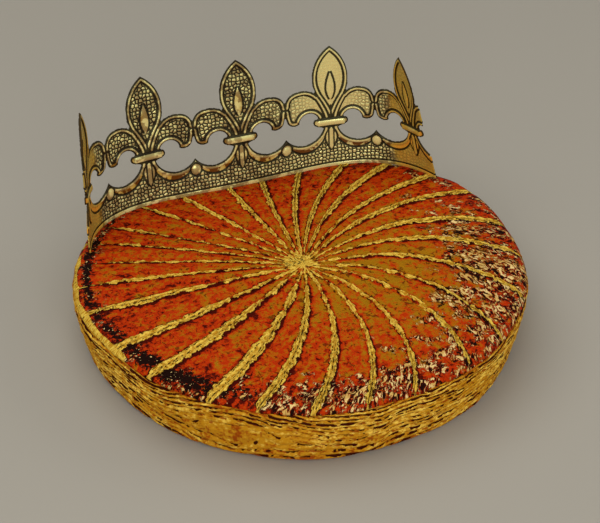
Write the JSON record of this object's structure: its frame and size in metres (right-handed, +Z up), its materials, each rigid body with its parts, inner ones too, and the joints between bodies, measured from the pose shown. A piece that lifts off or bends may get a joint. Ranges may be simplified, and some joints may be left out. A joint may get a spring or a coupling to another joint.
{
  "type": "galette des rois",
  "caption": "Round 24 cm puff pastry galette des rois, scored in a spiral, with an open gold card crown standing on it.",
  "frame": {"origin": "middle of the pastry's flat foot, on the surface it stands on", "axes": "+Z up; the crown stands at the back, towards +Y, and its decorated side faces -Y"},
  "size_m": [0.2412, 0.2375, 0.1117],
  "materials": {
    "baked_crust": "baked, egg-glazed puff pastry",
    "gold_foil": "embossed gold foil on card"
  },
  "bodies": {
    "root": {"galette": "baked_crust", "paper_crown": "gold_foil"}
  },
  "joints": []
}
